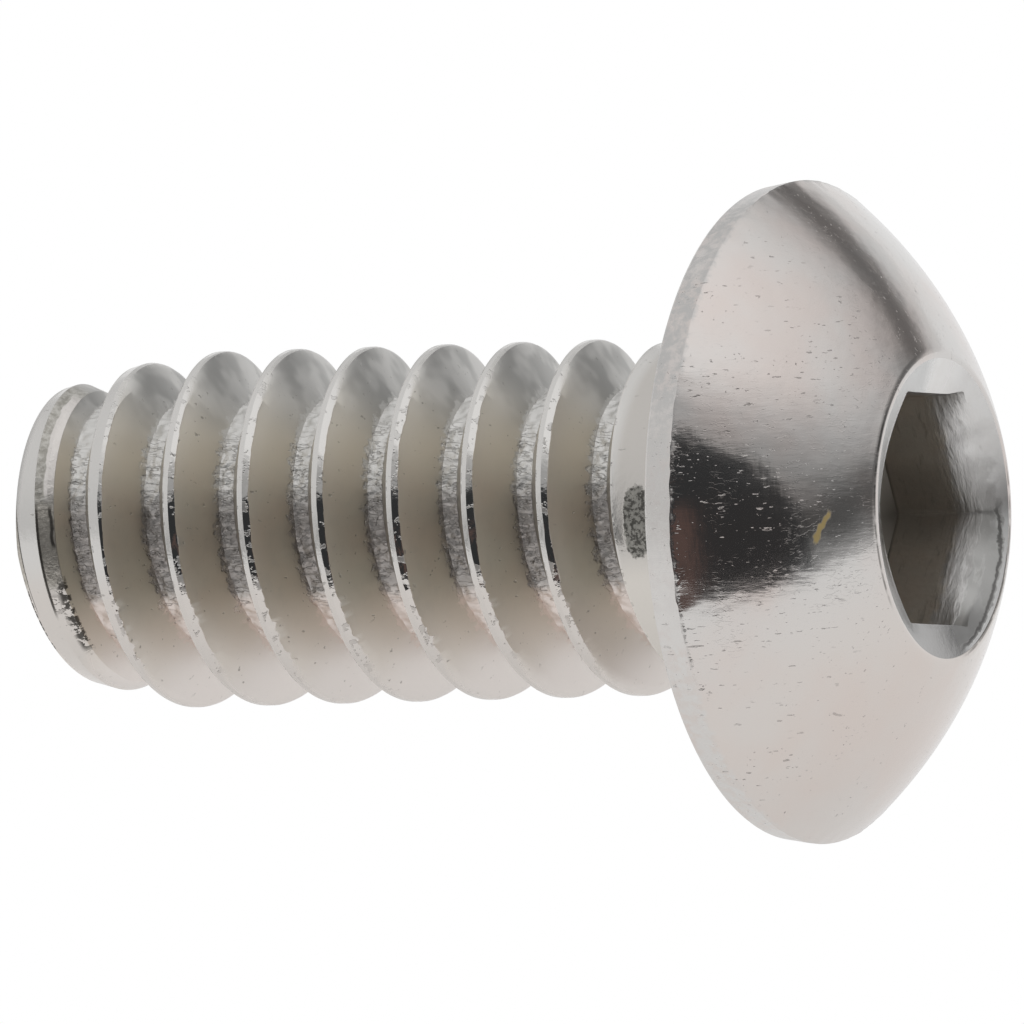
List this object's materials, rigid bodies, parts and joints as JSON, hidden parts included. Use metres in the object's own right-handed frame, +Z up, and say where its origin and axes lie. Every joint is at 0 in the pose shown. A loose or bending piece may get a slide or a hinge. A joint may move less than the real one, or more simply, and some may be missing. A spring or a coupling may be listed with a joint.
{
  "type": "button head screw",
  "caption": "Button head screw with a hexagon socket, a domed head with a thin rim and a coarse thread up to the head; it clamps a thin part to a tapped hole.",
  "frame": {"origin": "on the surface the screw lies on, under the middle of its bounding box", "axes": "+Z up; the screw lies with its axis in the XZ plane, head towards +X and 12.43 degrees higher than the point"},
  "size_m": [0.0096, 0.0062, 0.0062],
  "materials": {
    "plated_steel": "bright nickel-coloured plating, smooth on the thread's flanks, torn in its roots, finely scored on the head and in the socket"
  },
  "bodies": {
    "root": {"screw": "plated_steel"}
  },
  "joints": []
}
